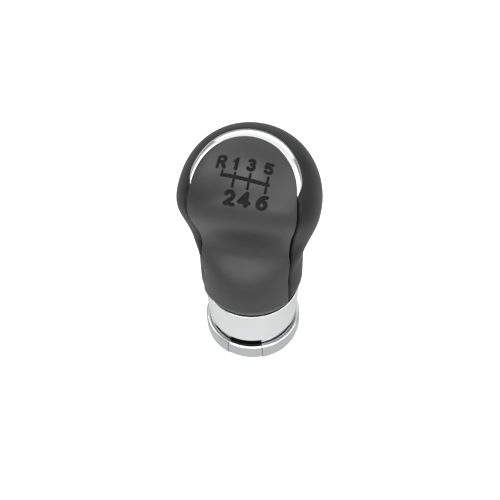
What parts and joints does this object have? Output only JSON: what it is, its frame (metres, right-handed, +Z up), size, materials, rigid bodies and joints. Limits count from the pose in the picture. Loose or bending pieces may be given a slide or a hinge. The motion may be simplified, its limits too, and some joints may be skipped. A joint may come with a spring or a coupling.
{
  "type": "gear shift knob",
  "caption": "Gear shift knob with soft black front cover and rear shell, bright arch and collar, sunk shift pattern and a spring-loaded lift ring for reverse.",
  "frame": {"origin": "centre of the lever socket's mouth, in the plane of the collar's foot", "axes": "+Z up along the gear lever, -Y towards the driver who reads the shift pattern, +X to their right"},
  "size_m": [0.0474, 0.043, 0.0932],
  "materials": {
    "soft_cover": "soft-touch black, fine sheen",
    "soft_shell": "soft-touch black, fine sheen",
    "bright_trim": "bright plated",
    "satin_ring": "bright plated",
    "core_plastic": "moulded",
    "steel": "turned",
    "spring_steel": "drawn wire",
    "black_rubber": "matt"
  },
  "bodies": {
    "grip": {"front_cover": "soft_cover", "rear_shell": "soft_shell", "arch_trim": "bright_trim", "grip_core": "core_plastic", "lever_insert": "steel", "damper_sleeve": "black_rubber", "upper_shell_screw": "steel", "lower_shell_screw": "steel", "neck_seal": "black_rubber", "collar_band": "bright_trim", "band_carrier": "core_plastic", "collar_screws": "steel", "spring_seat": "steel", "return_spring": "spring_steel", "stop_bumper": "black_rubber", "retaining_clip": "spring_steel"},
    "lift": {"lift_sleeve": "core_plastic", "lift_ring": "satin_ring", "pull_panel": "satin_ring"}
  },
  "joints": [
    {"name": "ring_lift", "type": "slide", "parent": "grip", "child": "lift", "axis": [0, 0, 1], "range_m": [0, 0.0028], "stiffness_N_per_m": 300, "springref_m": -0.02, "deforming": ["return_spring"]}
  ]
}
